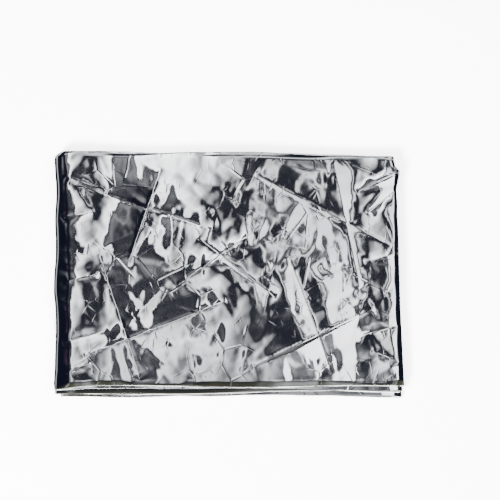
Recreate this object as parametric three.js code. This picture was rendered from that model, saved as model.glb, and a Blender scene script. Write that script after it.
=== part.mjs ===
import * as THREE from 'three';
import { mergeVertices } from 'three/addons/utils/BufferGeometryUtils.js';

// A folded foil infant wrap: one sheet of metallised film, folded lengthwise into a narrow strip
// of plies, then folded back and forth into a flat pack. The strip is the solid here, with its
// plies pressed together. Millimetres, +Z up: X runs between the two folded sides, Y from front
// to back, and the pack lies on Z = 0.

const stripThickness = 1.1; // six plies of film and the air between them
const stripWidth = 104; // front edge to back edge of the strip
const layerLength = 152; // from one side of the pack to the other
const layerCount = 5; // the strip lies in five layers, joined by four folds
const restingGap = 0.32; // between two layers where they are pressed together

const stepsAlongLayer = 14;
const stepsRoundFold = 8;
const stepsAcross = 18;
const stepsThrough = 2; // the row between the two faces rounds the front and back edges

const loopReach = 0.3; // share of a half layer over which a fold's open loop closes
const edgeRound = 0.35; // how far the middle of a front or back edge stands out
const edgeDraw = 0.45; // share of the crown that is left at the front and back edges
const waverHeight = 0.4; // in and out wander of the front and back edges
const waverTurns = 1.37; // waves of that wander along one layer
const flareLength = 13; // how far from a fold its flared front corner reaches
const bluntFrom = 0.94; // share of the half width beyond which a blunt back corner is drawn in

// How far the gap over each layer opens beyond the resting gap: in the middle of the pack, and at
// its left and right sides, where the springy film loops round a fold.
const gaps = [
  { middle: 0.06, left: 0.05, right: 0.3 },
  { middle: 0.12, left: 0.35, right: 0.05 },
  { middle: 0.16, left: 0.0, right: 0.4 },
  { middle: 0.3, left: 0.5, right: 0.0 },
];

// The strip's two free ends and its four folds, in order along the strip. Each has the side that
// it lies on, how far out it reaches at the front edge, in the middle and at the back edge,
// the strip's sideways drift there, how far its front corner flares forwards, and how far its
// back corner is drawn in.
const turns = [
  { side: -1, front: 74.6, middle: 73.9, back: 73.2, drift: -2.6, flare: 0, blunt: 0.3 },
  { side: 1, front: 76.4, middle: 75.7, back: 75.1, drift: -3.4, flare: 0.4, blunt: 0.6 },
  { side: -1, front: 77.6, middle: 76.4, back: 75.7, drift: -1.6, flare: 0, blunt: 1.0 },
  { side: 1, front: 76.9, middle: 75.9, back: 75.4, drift: -1.6, flare: 0, blunt: 0.5 },
  { side: -1, front: 77.5, middle: 76.1, back: 75.2, drift: 0.9, flare: 1.3, blunt: 2.2 },
  { side: 1, front: 77.2, middle: 76.3, back: 76.2, drift: -0.9, flare: 0, blunt: 0 },
];

// The free end on top has a bruised back corner: how much further it reaches at each distance
// from the middle.
const bruise = [
  { at: -52, out: 0 },
  { at: 36, out: 0 },
  { at: 45, out: 1.5 },
  { at: 47.5, out: -0.3 },
  { at: 52, out: -0.8 },
];

// Soft swells and troughs of the top, pressed less and less into the layers below: the place of
// the middle, the half length and half width, the bearing of the length and the height.
const swells = [
  { x: -38, y: 16, length: 44, width: 17, bearing: 24, height: 0.34 },
  { x: 30, y: 24, length: 38, width: 14, bearing: -18, height: -0.2 },
  { x: 36, y: -22, length: 46, width: 18, bearing: 12, height: 0.3 },
  { x: -30, y: -24, length: 36, width: 13, bearing: -30, height: -0.22 },
  { x: 4, y: 0, length: 20, width: 48, bearing: 6, height: 0.22 },
];

const halfStrip = stripThickness / 2;
const stepsPerLayer = stepsAlongLayer + stepsRoundFold;
const stepsAlong = layerCount * stepsAlongLayer + (layerCount - 1) * stepsRoundFold;

// A smooth line through a turn's three reaches, for v from -1 at the front edge to 1 at the back.
function reachOf(turn, v) {
  const tilt = (turn.back - turn.front) / 2;
  const bow = (turn.back + turn.front) / 2 - turn.middle;
  const pastStart = Math.max(0, v - bluntFrom) / (1 - bluntFrom);
  return turn.middle + tilt * v + bow * v * v - turn.blunt * pastStart ** 2;
}

function bruiseAt(y) {
  for (let i = 1; i < bruise.length; i++) {
    const before = bruise[i - 1];
    const after = bruise[i];
    if (y <= after.at) {
      const share = THREE.MathUtils.clamp((y - before.at) / (after.at - before.at), 0, 1);
      return THREE.MathUtils.lerp(before.out, after.out, share);
    }
  }
  return bruise[bruise.length - 1].out;
}

// The gap over a layer, for u from -1 at the left side to 1 at the right side.
function gapOver(layer, u, v) {
  const { middle, left, right } = gaps[layer];
  const crown = (1 - u * u) * (1 - (1 - edgeDraw) * v * v);
  const loopLeft = THREE.MathUtils.smoothstep(-u, 1 - loopReach, 1);
  const loopRight = THREE.MathUtils.smoothstep(u, 1 - loopReach, 1);
  return restingGap + middle * crown + left * loopLeft + right * loopRight;
}

function swellAt(x, y) {
  let height = 0;
  for (const swell of swells) {
    const bearing = THREE.MathUtils.degToRad(swell.bearing);
    const along = (x - swell.x) * Math.cos(bearing) + (y - swell.y) * Math.sin(bearing);
    const aside = (y - swell.y) * Math.cos(bearing) - (x - swell.x) * Math.sin(bearing);
    height += swell.height * Math.exp(-((along / swell.length) ** 2) - (aside / swell.width) ** 2);
  }
  return height;
}

// The height of a layer's middle. The lowest layer is flat, because it lies on the surface.
function heightOf(layer, u, v) {
  let height = halfStrip;
  for (let below = 0; below < layer; below++) {
    height += gapOver(below, u, v) + stripThickness;
  }
  const pressed = (layer / (layerCount - 1)) ** 2;
  const fade = 1 - u ** 6; // the swells die out at the folded sides
  return height + pressed * fade * swellAt((u * layerLength) / 2, (v * stripWidth) / 2);
}

// Where the straight part of a layer ends at a turn, on the strip's middle surface.
function endOfLayer(index, v) {
  const turn = turns[index];
  if (index === 0) {
    return turn.side * reachOf(turn, v);
  }
  if (index === layerCount) {
    return turn.side * (reachOf(turn, v) + bruiseAt(v * (stripWidth / 2)));
  }
  const rise = heightOf(index, turn.side, v) - heightOf(index - 1, turn.side, v);
  return turn.side * (reachOf(turn, v) - halfStrip - rise / 2);
}

// A point of the strip's middle surface in its section at v, counted in steps along the strip.
function middlePoint(step, v) {
  const layer = Math.min(Math.floor(step / stepsPerLayer), layerCount - 1);
  const within = step - layer * stepsPerLayer;
  const from = endOfLayer(layer, v);
  const to = endOfLayer(layer + 1, v);
  if (within <= stepsAlongLayer) {
    const share = within / stepsAlongLayer;
    const u = THREE.MathUtils.lerp(turns[layer].side, turns[layer + 1].side, share);
    return new THREE.Vector2(THREE.MathUtils.lerp(from, to, share), heightOf(layer, u, v));
  }
  const { side } = turns[layer + 1];
  const low = heightOf(layer, side, v);
  const high = heightOf(layer + 1, side, v);
  const angle = Math.PI * ((within - stepsAlongLayer) / stepsRoundFold - 0.5);
  const radius = (high - low) / 2;
  const x = to + side * radius * Math.cos(angle);
  const z = (low + high) / 2 + radius * Math.sin(angle);
  return new THREE.Vector2(x, z);
}

// How far forwards or back the strip's section lies, and how its front and back edges wander there.
function sideways(step, v) {
  const layer = Math.min(Math.floor(step / stepsPerLayer), layerCount - 1);
  const share = Math.min((step - layer * stepsPerLayer) / stepsAlongLayer, 1);
  const drift = THREE.MathUtils.lerp(turns[layer].drift, turns[layer + 1].drift, share);
  const waver = waverHeight * Math.sin(2 * Math.PI * waverTurns * (layer + share));
  const nearest = share < 0.5 ? turns[layer] : turns[layer + 1];
  const fromTurn = layerLength * Math.min(share, 1 - share);
  const flare = v < 0 ? nearest.flare * Math.max(0, 1 - fromTurn / flareLength) : 0;
  const nearEdge = v ** 4;
  return drift + nearEdge * (waver * Math.sign(v) - flare);
}

// Folds a point of the flat strip, given in steps along it, across it from -1 to 1, and through
// its thickness.
function foldedPoint(step, v, through) {
  const before = middlePoint(Math.max(step - 1, 0), v);
  const after = middlePoint(Math.min(step + 1, stepsAlong), v);
  const tangent = after.sub(before).normalize();
  const middle = middlePoint(step, v);
  const x = middle.x - tangent.y * through;
  const z = middle.y + tangent.x * through;
  const y = v * (stripWidth / 2) + sideways(step, v);
  return new THREE.Vector3(x, y, z);
}

function foldedStrip() {
  const flat = new THREE.BoxGeometry(
    stepsAlong, stepsAcross, stripThickness,
    stepsAlong, stepsAcross, stepsThrough,
  );
  flat.deleteAttribute('normal');
  flat.deleteAttribute('uv');
  const strip = mergeVertices(flat);
  const points = strip.attributes.position;
  for (let i = 0; i < points.count; i++) {
    const step = Math.round(points.getX(i) + stepsAlong / 2);
    const row = Math.round(points.getY(i) + stepsAcross / 2);
    const through = points.getZ(i);
    const v = Math.sin(Math.PI * (row / stepsAcross - 0.5)); // rows lie closer together near the edges
    const folded = foldedPoint(step, v, through);
    const onRim = row === 0 || row === stepsAcross;
    if (onRim && Math.abs(through) < halfStrip / 2) {
      folded.y += edgeRound * Math.sign(v);
    }
    points.setXYZ(i, folded.x, folded.y, folded.z);
  }
  strip.computeBoundingBox();
  const centre = strip.boundingBox.getCenter(new THREE.Vector3());
  strip.translate(-centre.x, -centre.y, 0);
  strip.computeVertexNormals();
  return strip;
}

const film = new THREE.MeshStandardMaterial({ color: 0xc9ccd2, roughness: 0.16, metalness: 1 });

const wrap = new THREE.Mesh(foldedStrip(), film);
wrap.name = 'foil_wrap';

const part = new THREE.Group();
part.add(wrap);

export default part;
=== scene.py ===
import math
import bpy
import numpy as np
from mathutils import Matrix, Vector
from mathutils.geometry import delaunay_2d_cdt


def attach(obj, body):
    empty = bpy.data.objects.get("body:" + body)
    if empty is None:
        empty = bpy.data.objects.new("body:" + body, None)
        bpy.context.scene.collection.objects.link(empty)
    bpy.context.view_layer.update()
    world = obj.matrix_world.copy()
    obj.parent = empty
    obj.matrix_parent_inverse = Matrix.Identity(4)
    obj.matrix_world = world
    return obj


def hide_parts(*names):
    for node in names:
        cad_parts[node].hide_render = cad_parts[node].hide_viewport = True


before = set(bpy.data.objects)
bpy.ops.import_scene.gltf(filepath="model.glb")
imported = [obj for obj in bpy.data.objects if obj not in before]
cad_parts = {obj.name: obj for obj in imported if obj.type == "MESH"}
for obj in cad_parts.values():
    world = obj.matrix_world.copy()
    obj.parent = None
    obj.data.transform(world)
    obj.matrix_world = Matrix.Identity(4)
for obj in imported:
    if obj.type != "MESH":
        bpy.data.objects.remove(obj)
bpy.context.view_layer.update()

mm = 0.001

# Camera

cameraView = {
    "lens": 135,  # mm, on a 36 mm sensor
    "azimuth": -31.3,  # degrees
    "elevation": 77.8,
    "roll": 30.5,
    "distance": 0.8406,  # metres
    "target": (0.0098, 0.0109, 0.0),
}


def addCamera(view):
    turn = Matrix.Rotation(math.radians(view["azimuth"]), 4, "Z")
    tilt = Matrix.Rotation(math.radians(90 - view["elevation"]), 4, "X")
    roll = Matrix.Rotation(math.radians(view["roll"]), 4, "Z")
    looking = turn @ tilt @ roll
    back = looking.to_3x3() @ Vector((0, 0, 1))
    bpy.ops.object.camera_add()
    camera = bpy.context.object
    camera.name = "photoCamera"
    camera.data.lens = view["lens"]
    camera.data.sensor_width = 36
    camera.matrix_world = Matrix.Translation(Vector(view["target"]) + back * view["distance"]) @ looking
    bpy.context.scene.camera = camera


addCamera(cameraView)
print("camera placed")

# Folded sheet. Sizes in millimetres, angles in degrees.

wrapSheet = {
    "flatLength": 780,  # along the strip
    "flatWidth": 570,  # across it, before the lengthwise folds
    "filmThickness": 0.04,
    "flapWidth": 50,  # the last ply, tucked in under the top one
    "turnFlat": 0.5,  # film taken up by one lengthwise fold
    "foldFlat": 4.2,  # film taken up by one fold across the strip
    "stripHalf": 0.5,  # from the strip's middle to its outer plies
    "plyLevels": [-1.0, -0.6, -0.2, 0.2, 1.0, 0.6],  # shares of stripHalf, in order across the sheet
    "levelWander": 0.05,  # how far the inner plies wander up and down
    "edgeWander": 0.35,  # how far a ply's folded edge wanders in and out
    "edgeProud": 0.3,  # how far the springy front and back edges stand out from the pressed strip
    "frontProud": [0.3, 1.0, 1.0, 0.9, 0.3, 0.2],  # and further still at the front, at each end of a layer
    "edgePinch": (0.2, 0.5),  # the folded edges are pressed flatter than the middle, here less and there more
    "pinchReach": 0.04,  # share of the half width where that begins
    "edgeLift": 0.07,  # how far the front and back edges of a layer wave up and down
    "liftFrom": 0.6,  # share of the half width where that begins
    "turnBulge": 1.6,  # a ply's edge stands out further than a round turn would
    "loopStretch": [1, 1.4, 1.4, 1.4, 1.55, 1],  # a fold's loop stands out further than a round one would
    "loopWander": 0.3,  # how far the folds at the sides wander in and out
    "loopFrom": 64,  # distance from the middle where that begins
    "loopProud": {  # how far a fold or free end stands out from the pressed strip, from front to back
        2: [(-52, 0.3), (-20, 0.7), (10, 0.9), (52, 1.2)],
        3: [(-52, -0.8), (0, -0.5), (30, -0.2), (52, 0)],
        4: [(-52, 0.9), (-44, 0.4), (-30, 0.4), (-11, 1.6), (12, 1.3), (32, 1.6), (42, 2.0), (52, 2.0)],
        5: [(-52, -1.3), (-20, -1.2), (-8, -0.9), (22, -0.5), (30, 0), (52, 0)],
    },
    "endStagger": [-0.5, 0.3, -0.2, 0.6, -0.7, 0.1],  # how far each ply sticks out at a free end, from below
    "staggerLength": 0.08,  # share of a layer over which it sets in
    "waves": {  # the soft waves of all these: seed, length
        "level": (40, 46),
        "edge": (60, 60),
        "pinch": (80, 70),
        "loop": (20, 26),
        "lift": (90, 38),
    },
    "layerSteps": [24, 18, 18, 24, 50],
    "foldSteps": 7,
    "plySteps": [8, 3, 3, 3, 34, 3],
    "turnSteps": 4,
    "topCuts": 3,  # further cuts in each face of the top
    "creaseBand": 0.7,  # faces this near to a main crease get one more cut
    "slopeStep": 0.3,  # the slope at a place is read this far before and behind it
    "smoothAngle": 75,
}

packFolds = {
    "stripThickness": 1.1,
    "stripWidth": 104,
    "layerLength": 152,
    "layers": 5,
    "restingGap": 0.32,
    "loopReach": 0.3,
    "edgeDraw": 0.45,
    "waverHeight": 0.4,
    "waverTurns": 1.37,
    "flareLength": 13,
    "bluntFrom": 0.94,
    "gaps": [  # over each layer: in the middle, at the left fold, at the right fold
        {"middle": 0.06, "left": 0.05, "right": 0.3},
        {"middle": 0.12, "left": 0.35, "right": 0.05},
        {"middle": 0.16, "left": 0.0, "right": 0.4},
        {"middle": 0.3, "left": 0.5, "right": 0.0},
    ],
    "turns": [  # free end, four folds, free end
        {"side": -1, "front": 74.6, "middle": 73.9, "back": 73.2, "drift": -2.6, "flare": 0, "blunt": 0.3},
        {"side": 1, "front": 76.4, "middle": 75.7, "back": 75.1, "drift": -3.4, "flare": 0.4, "blunt": 0.6},
        {"side": -1, "front": 77.6, "middle": 76.4, "back": 75.7, "drift": -1.6, "flare": 0, "blunt": 1.0},
        {"side": 1, "front": 76.9, "middle": 75.9, "back": 75.4, "drift": -1.6, "flare": 0, "blunt": 0.5},
        {"side": -1, "front": 77.5, "middle": 76.1, "back": 75.2, "drift": 0.9, "flare": 1.3, "blunt": 2.2},
        {"side": 1, "front": 77.2, "middle": 76.3, "back": 76.2, "drift": -0.9, "flare": 0, "blunt": 0},
    ],
    "bruise": [(-52, 0), (36, 0), (45, 1.5), (47.5, -0.3), (52, -0.8)],  # place across, how far out
    "centre": (0.03, -1.55),  # of the pack's box, before it is moved to the origin
    "swells": [
        {"x": -38, "y": 16, "length": 44, "width": 17, "bearing": 24, "height": 0.34},
        {"x": 30, "y": 24, "length": 38, "width": 14, "bearing": -18, "height": -0.2},
        {"x": 36, "y": -22, "length": 46, "width": 18, "bearing": 12, "height": 0.3},
        {"x": -30, "y": -24, "length": 36, "width": 13, "bearing": -30, "height": -0.22},
        {"x": 4, "y": 0, "length": 20, "width": 48, "bearing": 6, "height": 0.22},
    ],
}


def smoothStep(value, low, high):
    share = np.clip((value - low) / (high - low), 0, 1)
    return share * share * (3 - 2 * share)


def reachOf(turn, v):
    tilt = (turn["back"] - turn["front"]) / 2
    bow = (turn["back"] + turn["front"]) / 2 - turn["middle"]
    pastStart = np.maximum(0, v - packFolds["bluntFrom"]) / (1 - packFolds["bluntFrom"])
    return turn["middle"] + tilt * v + bow * v * v - turn["blunt"] * pastStart ** 2


def bruiseAt(y):
    places, outs = zip(*packFolds["bruise"])
    return np.interp(y, places, outs)


def gapOver(layer, u, v):
    gap = packFolds["gaps"][layer]
    crown = (1 - u * u) * (1 - (1 - packFolds["edgeDraw"]) * v * v)
    loopStart = 1 - packFolds["loopReach"]
    loops = gap["left"] * smoothStep(-u, loopStart, 1) + gap["right"] * smoothStep(u, loopStart, 1)
    return packFolds["restingGap"] + gap["middle"] * crown + loops


def swellAt(x, y):
    height = 0
    for swell in packFolds["swells"]:
        bearing = math.radians(swell["bearing"])
        along = (x - swell["x"]) * math.cos(bearing) + (y - swell["y"]) * math.sin(bearing)
        aside = (y - swell["y"]) * math.cos(bearing) - (x - swell["x"]) * math.sin(bearing)
        far = (along / swell["length"]) ** 2 + (aside / swell["width"]) ** 2
        height = height + swell["height"] * np.exp(-far)
    return height


def heightOf(layer, u, v):
    height = packFolds["stripThickness"] * (layer + 0.5) + 0 * v
    for below in range(layer):
        height = height + gapOver(below, u, v)
    pressed = (layer / (packFolds["layers"] - 1)) ** 2
    fade = 1 - u ** 6
    x = u * packFolds["layerLength"] / 2
    y = v * packFolds["stripWidth"] / 2
    return height + pressed * fade * swellAt(x, y)


def endOfLayer(index, v):
    turn = packFolds["turns"][index]
    side = turn["side"]
    if index == 0:
        return side * reachOf(turn, v)
    if index == packFolds["layers"]:
        return side * (reachOf(turn, v) + bruiseAt(v * packFolds["stripWidth"] / 2))
    rise = heightOf(index, side, v) - heightOf(index - 1, side, v)
    stretch = wrapSheet["loopStretch"][index]
    return side * (reachOf(turn, v) - packFolds["stripThickness"] / 2 - stretch * rise / 2)


# Along the strip a place is a layer, a share of it, and how far it has turned round the fold after it.
# Across the sheet it is a ply, a share of it, and how far it has turned round the edge after it.

layerFlat = (wrapSheet["flatLength"] + wrapSheet["foldFlat"]) / packFolds["layers"] - wrapSheet["foldFlat"]
plyCount = len(wrapSheet["plyLevels"])
plyFlat = (wrapSheet["flatWidth"] - wrapSheet["flapWidth"]) / (plyCount - 1) - wrapSheet["turnFlat"]


def placeAlong(flat, length, turnLength, count):
    index = np.clip(np.floor(flat / (length + turnLength)), 0, count - 1).astype(int)
    within = flat - index * (length + turnLength)
    share = np.clip(within / length, 0, 1)
    turned = np.clip((within - length) / turnLength, 0, 1)
    return index, share, turned


def flatLines(length, turnLength, steps, turnSteps, total):
    # where the grid's lines cross the flat sheet
    lines = []
    for index, count in enumerate(steps):
        start = index * (length + turnLength)
        end = min(start + length, total)
        lines.extend(np.linspace(start, end, count + 1))
        if index < len(steps) - 1:
            lines.extend(np.linspace(end, end + turnLength, turnSteps + 1)[1:-1])
    return np.array(lines)


def softWave(place, seed, wave):
    # a smooth seeded line of hills, about one unit high
    draw = np.random.default_rng(seed)
    total = 0
    for part in range(4):
        length = wave * draw.uniform(0.55, 1.8)
        total = total + np.sin(2 * np.pi * (place / length + draw.uniform(0, 1)))
    return total / 2.6


def plyLevel(ply, along):
    share = wrapSheet["plyLevels"][ply]
    seed, wave = wrapSheet["waves"]["level"]
    wander = 0 if abs(share) == 1 else wrapSheet["levelWander"] * softWave(along, seed + ply, wave)
    return share * wrapSheet["stripHalf"] + wander + 0 * along


def edgeOf(turn, along):
    # where the straight part of a ply gives way to its turn, and how far the turn stands out
    seed, wave = wrapSheet["waves"]["edge"]
    wander = wrapSheet["edgeWander"] * softWave(along, seed + turn, wave)
    half = packFolds["stripWidth"] / 2 + wrapSheet["edgeProud"] + wander
    if turn < 0 or turn >= plyCount - 1:
        return half, 0
    radius = wrapSheet["turnBulge"] * abs(plyLevel(turn + 1, along) - plyLevel(turn, along)) / 2
    return half - radius, radius


def foldLengthwise(along, across):
    # each point's place across the strip, from -1 to 1, and its height in the strip's thickness
    ply, share, turned = placeAlong(across, plyFlat, wrapSheet["turnFlat"], plyCount)
    place = np.zeros_like(across)
    level = np.zeros_like(across)
    for index in range(plyCount):
        direction = 1 if index % 2 == 0 else -1
        flat = (ply == index) & (turned == 0)
        start, _ = edgeOf(index - 1, along[flat])
        end, _ = edgeOf(index, along[flat])
        place[flat] = direction * (end * share[flat] - start * (1 - share[flat]))
        level[flat] = plyLevel(index, along[flat])
        turn = (ply == index) & (turned > 0)
        if turn.any():
            end, radius = edgeOf(index, along[turn])
            angle = np.pi * (turned[turn] - 0.5)
            low, high = plyLevel(index, along[turn]), plyLevel(index + 1, along[turn])
            place[turn] = direction * (end + radius * np.cos(angle))
            level[turn] = (low + high) / 2 + (high - low) / 2 * np.sin(angle)
    place /= packFolds["stripWidth"] / 2
    low, high = wrapSheet["edgePinch"]
    pinch = low + (high - low) * smoothStep(softWave(along, *wrapSheet["waves"]["pinch"]), -1, 1)
    pinch = pinch * smoothStep(np.abs(place), 1 - wrapSheet["pinchReach"], 1)
    return place, level * (1 - pinch)


def middleLine(along, v):
    # the strip's middle surface, seen from its side
    layer, share, turned = placeAlong(along, layerFlat, wrapSheet["foldFlat"], packFolds["layers"])
    x = np.zeros_like(along)
    z = np.zeros_like(along)
    turns = packFolds["turns"]
    for index in range(packFolds["layers"]):
        flat = (layer == index) & (turned == 0)
        near, far = 1 - share[flat], share[flat]
        u = turns[index]["side"] * near + turns[index + 1]["side"] * far
        x[flat] = endOfLayer(index, v[flat]) * near + endOfLayer(index + 1, v[flat]) * far
        z[flat] = heightOf(index, u, v[flat])
        loop = (layer == index) & (turned > 0)
        if loop.any():
            side = turns[index + 1]["side"]
            low, high = heightOf(index, side, v[loop]), heightOf(index + 1, side, v[loop])
            angle = np.pi * (turned[loop] - 0.5)
            stretch = wrapSheet["loopStretch"][index + 1]
            x[loop] = endOfLayer(index + 1, v[loop]) + side * stretch * (high - low) / 2 * np.cos(angle)
            z[loop] = (low + high) / 2 + (high - low) / 2 * np.sin(angle)
    return x, z


def sideways(layer, share, v):
    # how far forwards or back the strip lies there
    drifts = np.array([turn["drift"] for turn in packFolds["turns"]])
    flares = np.array([turn["flare"] for turn in packFolds["turns"]])
    drift = drifts[layer] * (1 - share) + drifts[layer + 1] * share
    waver = packFolds["waverHeight"] * np.sin(2 * np.pi * packFolds["waverTurns"] * (layer + share))
    nearest = np.where(share < 0.5, layer, layer + 1)
    fromTurn = packFolds["layerLength"] * np.minimum(share, 1 - share)
    flare = flares[nearest] * np.maximum(0, 1 - fromTurn / packFolds["flareLength"])
    prouds = np.array(wrapSheet["frontProud"])
    flare += prouds[layer] * (1 - share) + prouds[layer + 1] * share
    return drift + v ** 4 * (waver * np.sign(v) - np.where(v < 0, flare, 0))


def outwards(layer, share, level, x, y):
    # the wander of the folds at the sides, and the stagger of the plies at the free ends
    nearest = np.where(share < 0.5, layer, layer + 1)
    wander = np.zeros_like(x)
    for turn in range(len(packFolds["turns"])):
        here = nearest == turn
        seed, wave = wrapSheet["waves"]["loop"]
        wander[here] = wrapSheet["loopWander"] * softWave(y[here], seed + turn, wave)
        if turn in wrapSheet["loopProud"]:
            places, prouds = zip(*wrapSheet["loopProud"][turn])
            wander[here] += np.interp(y[here], places, prouds)
    wander *= smoothStep(np.abs(x), wrapSheet["loopFrom"], packFolds["layerLength"] / 2)
    levels = np.linspace(-wrapSheet["stripHalf"], wrapSheet["stripHalf"], len(wrapSheet["endStagger"]))
    stagger = np.interp(level, levels, wrapSheet["endStagger"])
    span = wrapSheet["staggerLength"]
    firstEnd = (layer == 0) * smoothStep(share, span, 0)
    lastEnd = (layer == packFolds["layers"] - 1) * smoothStep(share, 1 - span, 1)
    return np.sign(x) * (wander + stagger * (firstEnd + lastEnd))


def foldSheet(along, across):
    v, level = foldLengthwise(along, across)
    x, z = middleLine(along, v)
    step = wrapSheet["slopeStep"]
    aheadX, aheadZ = middleLine(np.minimum(along + step, wrapSheet["flatLength"]), v)
    behindX, behindZ = middleLine(np.maximum(along - step, 0), v)
    length = np.hypot(aheadX - behindX, aheadZ - behindZ)
    x = x - (aheadZ - behindZ) / length * level
    z = z + (aheadX - behindX) / length * level
    layer, share, _ = placeAlong(along, layerFlat, wrapSheet["foldFlat"], packFolds["layers"])
    y = v * packFolds["stripWidth"] / 2 + sideways(layer, share, v)
    x = x + outwards(layer, share, level, x, y)
    x -= packFolds["centre"][0]
    y -= packFolds["centre"][1]
    seed, wave = wrapSheet["waves"]["lift"]
    lifts = np.array([softWave(x, seed + index, wave) for index in range(packFolds["layers"])])
    lift = np.take_along_axis(lifts, layer[None, :], axis=0)[0]
    z += wrapSheet["edgeLift"] * lift * smoothStep(np.abs(v), wrapSheet["liftFrom"], 1) * (layer > 0)
    z += topRelief(x, y) * np.clip(z / z.max(), 0, 1) ** topCreases["fadePower"]
    z += curlAt(layer, share, v)
    return np.stack([x, y, z], axis=-1) * mm


# Main creases of the top: from and to, height of the ridge or depth of the trough,
# and how far its sides reach. The relief fades into the layers below.

topCreases = {
    "crestRound": 0.15,
    "lineShare": 0.35,  # each crest has a sharp line of this share of its height
    "lineReach": 0.9,
    "fadePower": 6,  # how fast the relief dies out below the top
    "main": [
        (-71, 40, -8, 19, -0.24, 9.0),
        (-65, -37, -2, -13, 0.24, 8.0),
        (8, -43, 64, -17, 0.26, 9.0),
        (12, 44, 73, 11, -0.26, 10.0),
        (-24, -6, 10, 17, 0.16, 6.5),
        (-14, 15, 20, -12, -0.17, 6.5),
        (-46, 2, -30, 47, 0.16, 7.0),
        (28, 2, 44, -46, -0.18, 7.0),
        (-58, 8, -40, -48, -0.15, 7.0),
        (48, 50, 58, -8, 0.16, 7.0),
        (-73, 43, -55, 37, 0.14, 3.2),
        (-74, 24, -61, 27, -0.12, 3.0),
        (-73, -4, -58, -1, 0.13, 3.0),
        (-74, -31, -54, -26, -0.14, 3.2),
        (-72, -44, -62, -40, 0.12, 2.8),
        (77, 45, 58, 36, 0.3, 3.4),
        (77, 38, 62, 26, -0.2, 3.2),
        (77, 8, 60, 4, 0.12, 3.2),
        (77, -24, 56, -30, -0.14, 3.4),
        (77, -42, 62, -36, 0.14, 3.0),
    ],
    "small": {
        "count": 60,
        "seed": 11,
        "within": (74, 52),  # to both sides of the middle
        "shortest": 8,
        "longest": 34,
        "height": 0.07,
        "reach": 4.0,
    },
    "facetField": (88, 66),  # to both sides of the middle
    "facetShift": 0.42,  # how far a corner strays, as a share of the facet's size
    "facets": [  # the crumple between the creases: size of a facet, height, seed
        (15.0, 0.12, 5),
        (6.5, 0.06, 8),
        (3.4, 0.016, 9),
    ],
    "flapStep": {  # the edge of the tucked flap shows through
        "y": 3.2,
        "height": 0.08,
        "width": 1.6,
        "wander": 1.5,
        "wave": (32, 42),  # seed, length
    },
    "shoulder": {  # down to the left fold: where it begins, from front to back
        "from": [(-52, -71.3), (-30, -71.4), (0, -71.7), (30, -72.2), (52, -72.9)],
        "slope": 0.09,
        "round": 0.6,
        "wander": 0.35,
        "wave": (31, 40),  # seed, length
    },
    "curl": {"depth": 0.34, "front": 2.2, "back": 1.2, "power": 1.6},  # the free end on the right
}


def creaseRelief(x, y, crease):
    startX, startY, endX, endY, height, reach = crease
    length = math.hypot(endX - startX, endY - startY)
    unitX, unitY = (endX - startX) / length, (endY - startY) / length
    along = ((x - startX) * unitX + (y - startY) * unitY) / length
    aside = (y - startY) * unitX - (x - startX) * unitY
    crest = topCreases["crestRound"]
    distance = np.sqrt(aside ** 2 + crest ** 2) - crest
    fade = np.clip(4 * along * (1 - along), 0, 1) ** 0.5
    line = topCreases["lineShare"] * np.clip(1 - distance / topCreases["lineReach"], 0, 1)
    return height * fade * (np.clip(1 - distance / reach, 0, 1) + line)


def facetRelief(x, y, size, height, seed):
    # film crumples into flat facets: random heights at scattered points, with flat triangles between
    draw = np.random.default_rng(seed)
    halfX, halfY = topCreases["facetField"]
    stray = topCreases["facetShift"]
    columns, rows = round(2 * halfX / size), round(2 * halfY / size)
    points, heights = [], []
    for column in range(columns + 1):
        for row in range(rows + 1):
            shiftX, shiftY = draw.uniform(-stray, stray, 2) * size
            points.append(Vector((2 * halfX * column / columns - halfX + shiftX,
                                  2 * halfY * row / rows - halfY + shiftY)))
            heights.append(height * draw.uniform(-1, 1))
    places, _, faces, *_ = delaunay_2d_cdt(points, [], [], 0, 0.001)
    relief = np.zeros_like(x)
    for a, b, c in faces:
        (ax, ay), (bx, by), (cx, cy) = places[a], places[b], places[c]
        near = (x >= min(ax, bx, cx)) & (x <= max(ax, bx, cx))
        near &= (y >= min(ay, by, cy)) & (y <= max(ay, by, cy))
        twice = (bx - ax) * (cy - ay) - (cx - ax) * (by - ay)
        shareB = ((x[near] - ax) * (cy - ay) - (cx - ax) * (y[near] - ay)) / twice
        shareC = ((bx - ax) * (y[near] - ay) - (x[near] - ax) * (by - ay)) / twice
        inside = (shareB >= 0) & (shareC >= 0) & (shareB + shareC <= 1)
        level = heights[a] + shareB * (heights[b] - heights[a]) + shareC * (heights[c] - heights[a])
        spots = np.flatnonzero(near)[inside]
        relief[spots] = level[inside]
    return relief


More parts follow.
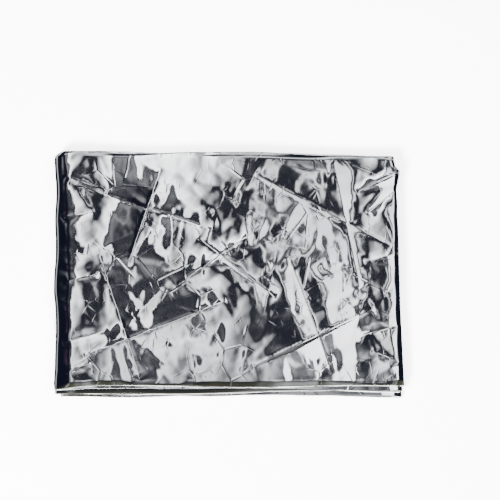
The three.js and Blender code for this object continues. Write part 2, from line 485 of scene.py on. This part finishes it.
def topRelief(x, y):
    relief = np.zeros_like(x)
    for crease in topCreases["main"]:
        relief += creaseRelief(x, y, crease)
    small = topCreases["small"]
    halfX, halfY = small["within"]
    draw = np.random.default_rng(small["seed"])
    for _ in range(small["count"]):
        middleX, middleY = draw.uniform(-halfX, halfX), draw.uniform(-halfY, halfY)
        bearing = draw.uniform(0, np.pi)
        half = draw.uniform(small["shortest"], small["longest"]) / 2
        reachX, reachY = half * math.cos(bearing), half * math.sin(bearing)
        height = small["height"] * draw.uniform(0.4, 1) * draw.choice([-1, 1])
        reach = small["reach"] * draw.uniform(0.6, 1.4)
        ends = (middleX - reachX, middleY - reachY, middleX + reachX, middleY + reachY)
        relief += creaseRelief(x, y, (*ends, height, reach))
    for size, height, seed in topCreases["facets"]:
        relief += facetRelief(x, y, size, height, seed)
    step = topCreases["flapStep"]
    past = y - step["y"] - step["wander"] * softWave(x, *step["wave"])
    relief += step["height"] * (smoothStep(past, -step["width"], step["width"]) - 0.5)
    shoulder = topCreases["shoulder"]
    places, starts = zip(*shoulder["from"])
    beyond = np.interp(y, places, starts) + shoulder["wander"] * softWave(y, *shoulder["wave"]) - x
    relief -= shoulder["slope"] * (beyond + np.sqrt(beyond ** 2 + shoulder["round"] ** 2)) / 2
    return relief


def curlAt(layer, share, v):
    # the free end on top curls down
    curl = topCreases["curl"]
    width = curl["front"] + (curl["back"] - curl["front"]) * (v + 1) / 2
    inward = np.clip(1 - layerFlat * (1 - share) / width, 0, 1)
    return -curl["depth"] * (layer == packFolds["layers"] - 1) * inward ** curl["power"]


def creaseDistance(x, y):
    # from the nearest main crease
    nearest = np.full_like(x, 99.0)
    for startX, startY, endX, endY, *_ in topCreases["main"]:
        length = math.hypot(endX - startX, endY - startY)
        unitX, unitY = (endX - startX) / length, (endY - startY) / length
        along = np.clip((x - startX) * unitX + (y - startY) * unitY, 0, length)
        nearest = np.minimum(nearest, np.hypot(x - startX - along * unitX, y - startY - along * unitY))
    return nearest


def isTop(places):
    # on the flat sheet: the ply and the layer that come to lie on top
    along, across = places[:, 0], places[:, 1]
    topStart = (packFolds["layers"] - 1) * (layerFlat + wrapSheet["foldFlat"]) - wrapSheet["foldFlat"]
    plyStart = (plyCount - 2) * (plyFlat + wrapSheet["turnFlat"])
    return (along > topStart) & (across > plyStart) & (across < plyStart + plyFlat)


def cutFaces(mesh, wanted, cuts):
    bpy.ops.object.mode_set(mode="EDIT")
    bpy.ops.mesh.select_mode(type="FACE")
    bpy.ops.mesh.select_all(action="DESELECT")
    bpy.ops.object.mode_set(mode="OBJECT")
    mesh.polygons.foreach_set("select", wanted)
    bpy.ops.object.mode_set(mode="EDIT")
    bpy.ops.mesh.subdivide(number_cuts=cuts)
    bpy.ops.object.mode_set(mode="OBJECT")


def readPlaces(mesh):
    places = np.empty(len(mesh.vertices) * 3)
    mesh.vertices.foreach_get("co", places)
    return places.reshape(-1, 3)


def faceCentres(mesh):
    centres = np.empty(len(mesh.polygons) * 3)
    mesh.polygons.foreach_get("center", centres)
    return centres.reshape(-1, 3)


def addWrap():
    alongLines = flatLines(layerFlat, wrapSheet["foldFlat"], wrapSheet["layerSteps"],
                           wrapSheet["foldSteps"], wrapSheet["flatLength"])
    acrossLines = flatLines(plyFlat, wrapSheet["turnFlat"], wrapSheet["plySteps"],
                            wrapSheet["turnSteps"], wrapSheet["flatWidth"])
    bpy.ops.object.select_all(action="DESELECT")
    bpy.ops.mesh.primitive_grid_add(
        x_subdivisions=len(alongLines) - 1, y_subdivisions=len(acrossLines) - 1, size=1)
    wrap = bpy.context.object
    wrap.name = "foilSheet"
    mesh = wrap.data
    # the sheet at its flat size, with its lines closer together at the folds
    places = readPlaces(mesh)
    column = np.rint((places[:, 0] + 0.5) * (len(alongLines) - 1)).astype(int)
    row = np.rint((places[:, 1] + 0.5) * (len(acrossLines) - 1)).astype(int)
    flat = np.stack([alongLines[column], acrossLines[row], 0 * column], axis=-1)
    mesh.vertices.foreach_set("co", flat.ravel())
    # the faces of the top are cut finer, and finer again along the main creases
    centres = faceCentres(mesh)
    cutFaces(mesh, isTop(centres), wrapSheet["topCuts"])
    centres = faceCentres(mesh)
    folded = foldSheet(centres[:, 0], centres[:, 1]) / mm
    nearCrease = creaseDistance(folded[:, 0], folded[:, 1]) < wrapSheet["creaseBand"]
    cutFaces(mesh, isTop(centres) & nearCrease, 1)
    # the map holds each point's place on the flat sheet, in metres
    flat = readPlaces(mesh)
    corners = np.empty(len(mesh.loops), dtype=int)
    mesh.loops.foreach_get("vertex_index", corners)
    mesh.uv_layers[0].name = "flatSheet"
    mesh.uv_layers[0].data.foreach_set("uv", (flat[corners, :2] * mm).ravel())
    mesh.vertices.foreach_set("co", foldSheet(flat[:, 0], flat[:, 1]).ravel())
    mesh.update()
    film = wrap.modifiers.new("film", "SOLIDIFY")
    film.thickness = wrapSheet["filmThickness"] * mm
    film.offset = 0
    bpy.ops.object.modifier_apply(modifier="film")
    bpy.ops.object.shade_smooth_by_angle(angle=math.radians(wrapSheet["smoothAngle"]))
    return wrap


wrap = addWrap()
print("foil sheet folded:", sum(len(face.vertices) - 2 for face in wrap.data.polygons), "triangles")

# Film material

filmFinish = {
    "silver": (0.87, 0.875, 0.89, 1),
    "smudge": (0.80, 0.805, 0.825, 1),
    "smudgeSize": 22,  # mm
    "roughness": (0.02, 0.055),
    "sheenSize": 9,  # mm, of the patches where the roughness changes
    "wrinkles": [  # size of a wrinkle in mm, its height in mm, how twisted it is
        (9.0, 0.009, 0.3),
        (1.7, 0.0008, 0.3),
    ],
    "crinkles": [  # fine creases: size of their net in mm, depth, width of a crease as a share of the size
        (15.0, 0.020, 0.035),
        (6.5, 0.007, 0.05),
    ],
    "crinkleBend": 2.5,  # how far the net is bent, in mm
    "crinklePatches": (0.5, 0.72),  # it shows only in patches: noise where they begin and are full
}


def makeFilm(finish):
    material = bpy.data.materials.new("silverFilm")
    material.use_nodes = True
    nodes = material.node_tree.nodes
    links = material.node_tree.links
    shader = nodes["Principled BSDF"]
    shader.inputs["Metallic"].default_value = 1
    sheetMap = nodes.new("ShaderNodeUVMap")
    sheetMap.uv_map = "flatSheet"

    def noise(size, detail, twist=0.0):
        node = nodes.new("ShaderNodeTexNoise")
        node.inputs["Scale"].default_value = 1 / (size * mm)
        node.inputs["Detail"].default_value = detail
        node.inputs["Distortion"].default_value = twist
        links.new(sheetMap.outputs["UV"], node.inputs["Vector"])
        return node.outputs["Fac"]

    def scaled(value, factor):
        node = nodes.new("ShaderNodeMath")
        node.operation = "MULTIPLY"
        links.new(value, node.inputs[0])
        node.inputs[1].default_value = factor
        return node.outputs[0]

    def joined(operation, first, second):
        node = nodes.new("ShaderNodeMath")
        node.operation = operation
        links.new(first, node.inputs[0])
        links.new(second, node.inputs[1])
        return node.outputs[0]

    def bentMap(size, bend):
        # the map with its lines bent, so that a net on it doesn't look regular
        wave = nodes.new("ShaderNodeTexNoise")
        wave.inputs["Scale"].default_value = 1 / (size * mm)
        links.new(sheetMap.outputs["UV"], wave.inputs["Vector"])
        node = nodes.new("ShaderNodeVectorMath")
        node.operation = "MULTIPLY_ADD"
        node.inputs[1].default_value = [bend * mm] * 3
        links.new(wave.outputs["Color"], node.inputs[0])
        links.new(sheetMap.outputs["UV"], node.inputs[2])
        return node.outputs[0]

    smudges = noise(finish["smudgeSize"], 3)
    tone = nodes.new("ShaderNodeMix")
    tone.data_type = "RGBA"
    tone.inputs[6].default_value = finish["silver"]
    tone.inputs[7].default_value = finish["smudge"]
    links.new(smudges, tone.inputs[0])
    links.new(tone.outputs[2], shader.inputs["Base Color"])
    sheen = nodes.new("ShaderNodeMapRange")
    sheen.inputs["From Min"].default_value = 0.3
    sheen.inputs["From Max"].default_value = 0.75
    sheen.inputs["To Min"].default_value = finish["roughness"][0]
    sheen.inputs["To Max"].default_value = finish["roughness"][1]
    links.new(noise(finish["sheenSize"], 4), sheen.inputs["Value"])
    links.new(sheen.outputs["Result"], shader.inputs["Roughness"])
    # fine wrinkles, in millimetres high
    layers = [scaled(noise(size, 2, twist), high) for size, high, twist in finish["wrinkles"]]
    for size, deep, wide in finish["crinkles"]:
        net = nodes.new("ShaderNodeTexVoronoi")
        net.feature = "DISTANCE_TO_EDGE"
        net.inputs["Scale"].default_value = 1 / (size * mm)
        links.new(bentMap(2 * size, finish["crinkleBend"]), net.inputs["Vector"])
        crest = nodes.new("ShaderNodeMapRange")
        crest.inputs["From Max"].default_value = wide
        crest.inputs["To Min"].default_value = deep
        crest.inputs["To Max"].default_value = 0
        links.new(net.outputs["Distance"], crest.inputs["Value"])
        patches = nodes.new("ShaderNodeMapRange")
        patches.inputs["From Min"].default_value = finish["crinklePatches"][0]
        patches.inputs["From Max"].default_value = finish["crinklePatches"][1]
        links.new(noise(1.6 * size, 1), patches.inputs["Value"])
        layers.append(joined("MULTIPLY", crest.outputs["Result"], patches.outputs["Result"]))
    height = layers[0]
    for layer in layers[1:]:
        height = joined("ADD", height, layer)
    bump = nodes.new("ShaderNodeBump")
    bump.inputs["Distance"].default_value = mm
    links.new(height, bump.inputs["Height"])
    links.new(bump.outputs["Normal"], shader.inputs["Normal"])
    return material


wrap.data.materials.append(makeFilm(filmFinish))
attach(wrap, "root")
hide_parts("foil_wrap")
print("film finished")

# Floor, lights and surroundings

studio = {
    "floorSize": 16,
    "floorColour": (0.9, 0.9, 0.9, 1),
    "panels": [
        # name, place, width, length, watts, colour, whether the film mirrors it
        ("skyPanel", (0.2, 0.1, 1.6), 2.2, 2.2, 260, (1, 0.998, 0.99), False),
        ("keyPanel", (-0.62, -0.66, 0.85), 0.34, 0.34, 150, (1, 0.995, 0.98), False),
    ],
}


def addFloor():
    bpy.ops.object.select_all(action="DESELECT")
    bpy.ops.mesh.primitive_plane_add(size=studio["floorSize"])
    floor = bpy.context.object
    floor.name = "studioFloor"
    material = bpy.data.materials.new("paleFloor")
    material.use_nodes = True
    shader = material.node_tree.nodes["Principled BSDF"]
    shader.inputs["Base Color"].default_value = studio["floorColour"]
    shader.inputs["Roughness"].default_value = 0.8
    floor.data.materials.append(material)


def addPanel(name, place, width, length, watts, colour, mirrored):
    bpy.ops.object.light_add(type="AREA", location=place)
    panel = bpy.context.object
    panel.name = name
    panel.data.shape = "RECTANGLE"
    panel.data.size = width
    panel.data.size_y = length
    panel.data.energy = watts
    panel.data.color = colour
    panel.visible_glossy = mirrored
    panel.rotation_euler = (-Vector(place)).to_track_quat("-Z", "Y").to_euler()


room = {
    "dark": (0.008, 0.010, 0.021, 1),  # navy
    "olive": (0.105, 0.108, 0.066, 1),  # at the front
    "oliveFrom": (0.02, -0.25),
    "bright": (1.0, 1.01, 1.03),
    "glows": [  # overhead: where the middle is along X and Y, how far it spreads, brightness
        (0.170, 0.20, 0.160, 0.22, 0.02),
        (0.180, 0.40, 0.120, 0.04, 1.60),
        (0.135, 0.04, 0.020, 0.04, 1.20),
        (0.148, 0.20, 0.006, 0.05, 2.00),
        (0.005, 0.06, 0.025, 0.05, 0.60),
        (0.008, 0.27, 0.022, 0.07, 0.35),
        (0.340, 0.26, 0.030, 0.08, 0.90),
        (-0.02, 0.42, 0.030, 0.05, 0.70),
        (0.180, -0.16, 0.050, 0.11, 0.45),
        (-0.02, -0.18, 0.035, 0.11, 0.35),
        (-0.13, 0.228, 0.028, 0.032, 0.24),
    ],
    "panels": [
        # soft boxes overhead: where they begin and end along X and Y, rim, brightness in front and behind,
        # share of it that is left on the right
        (0.048, 0.106, -0.02, 0.42, 0.006, 1.1, 5.0, 0.10),
        (0.170, 0.290, 0.02, 0.31, 0.006, 3.4, 1.6, 1.2),
        (-0.62, -0.41, -0.05, 0.60, 0.020, 0.4, 1.1, 1),
        (0.230, 0.480, 0.42, 0.68, 0.020, 1.0, 3.2, 0.3),
        (-0.370, -0.200, 0.46, 0.80, 0.010, 2.6, 1.0, 0.3),
    ],
    "plumGlow": (-0.125, 0.12, 0.024, 0.020),
    "plum": (0.085, 0.042, 0.086, 1),
    "ringCount": 8,  # panels round the room
    "ringTurn": 0.105,
    "ringRims": (-0.75, -0.35),
    "ringSways": [  # some of it is dimmer: waves round the room, turn, the dimmest
        (3, 3.93, 0.55),
        (19, 2.6, 0.35),
    ],
    "ringLow": (0.10, 0.20),  # height on the unit sphere where they begin
    "ringHigh": (0.60, 0.68),
    "ringBright": (1.4, 2.6),  # at the bottom and at the top
    "transoms": [(0.40, 0.46, 0.012), (0.245, 0.275, 0.006)],  # dark bars across them
    "wall": 0.22,
}


def makeSurroundings():
    world = bpy.data.worlds.new("studioRoom")
    bpy.context.scene.world = world
    world.use_nodes = True
    nodes = world.node_tree.nodes
    links = world.node_tree.links

    def feed(socket, value):
        if hasattr(value, "is_linked"):
            links.new(value, socket)
        else:
            socket.default_value = value

    def maths(operation, first, second=0.0):
        node = nodes.new("ShaderNodeMath")
        node.operation = operation
        feed(node.inputs[0], first)
        feed(node.inputs[1], second)
        return node.outputs[0]

    def ease(value, low, high, fromValue=0.0, toValue=1.0):
        node = nodes.new("ShaderNodeMapRange")
        node.interpolation_type = "SMOOTHSTEP"
        feed(node.inputs["Value"], value)
        node.inputs["From Min"].default_value = low
        node.inputs["From Max"].default_value = high
        node.inputs["To Min"].default_value = fromValue
        node.inputs["To Max"].default_value = toValue
        return node.outputs["Result"]

    def within(value, low, high, soft):
        rising = ease(value, low - soft, low + soft)
        falling = ease(value, high - soft, high + soft, 1, 0)
        return maths("MULTIPLY", rising, falling)

    def blend(factor, first, second):
        node = nodes.new("ShaderNodeMix")
        node.data_type = "RGBA"
        feed(node.inputs[0], factor)
        feed(node.inputs[6], first)
        feed(node.inputs[7], second)
        return node.outputs[2]

    def glow(middleX, middleY, spreadX, spreadY):
        farX = maths("POWER", maths("DIVIDE", maths("SUBTRACT", x, middleX), spreadX), 2)
        farY = maths("POWER", maths("DIVIDE", maths("SUBTRACT", y, middleY), spreadY), 2)
        return maths("EXPONENT", maths("MULTIPLY", maths("ADD", farX, farY), -1))

    place = nodes.new("ShaderNodeTexCoord")
    split = nodes.new("ShaderNodeSeparateXYZ")
    links.new(place.outputs["Generated"], split.inputs[0])
    x, y, z = split.outputs
    bearing = maths("ARCTAN2", y, x)
    wave = maths("SINE", maths("ADD", maths("MULTIPLY", bearing, room["ringCount"]), room["ringTurn"]))
    light = maths("MULTIPLY", ease(z, *room["ringLow"]), ease(z, *room["ringHigh"], 1, 0))
    light = maths("MULTIPLY", light, ease(wave, *room["ringRims"]))
    for count, turn, dimmest in room["ringSways"]:
        sway = maths("SINE", maths("ADD", maths("MULTIPLY", bearing, count), turn))
        light = maths("MULTIPLY", light, ease(sway, -1, 0.6, dimmest, 1))
    light = maths("MULTIPLY", light, ease(z, room["ringLow"][1], room["ringHigh"][0], *room["ringBright"]))
    for transom in room["transoms"]:
        light = maths("MULTIPLY", light, maths("SUBTRACT", 1, within(z, *transom)))
    light = maths("MAXIMUM", light, ease(z, *room["ringLow"], room["wall"], 0))
    overhead = 0.0
    for *spot, brightness in room["glows"]:
        overhead = maths("ADD", overhead, maths("MULTIPLY", glow(*spot), brightness))
    for left, right, front, back, rim, brightFront, brightBack, rightShare in room["panels"]:
        panel = maths("MULTIPLY", within(x, left, right, rim), within(y, front, back, rim))
        panel = maths("MULTIPLY", panel, ease(y, front, back, brightFront, brightBack))
        panel = maths("MULTIPLY", panel, ease(x, left, right, 1, rightShare))
        overhead = maths("MAXIMUM", overhead, panel)
    light = maths("MAXIMUM", light, maths("MULTIPLY", overhead, ease(z, 0.3, 0.5)))
    colour = blend(ease(y, *room["oliveFrom"]), room["dark"], room["olive"])
    colour = blend(glow(*room["plumGlow"]), colour, room["plum"])
    lamps = nodes.new("ShaderNodeVectorMath")
    lamps.operation = "SCALE"
    lamps.inputs[0].default_value = room["bright"]
    links.new(light, lamps.inputs["Scale"])
    total = nodes.new("ShaderNodeVectorMath")
    total.operation = "ADD"
    links.new(colour, total.inputs[0])
    links.new(lamps.outputs[0], total.inputs[1])
    links.new(total.outputs[0], nodes["Background"].inputs["Color"])


addFloor()
for panel in studio["panels"]:
    addPanel(*panel)
makeSurroundings()
print("studio lit")
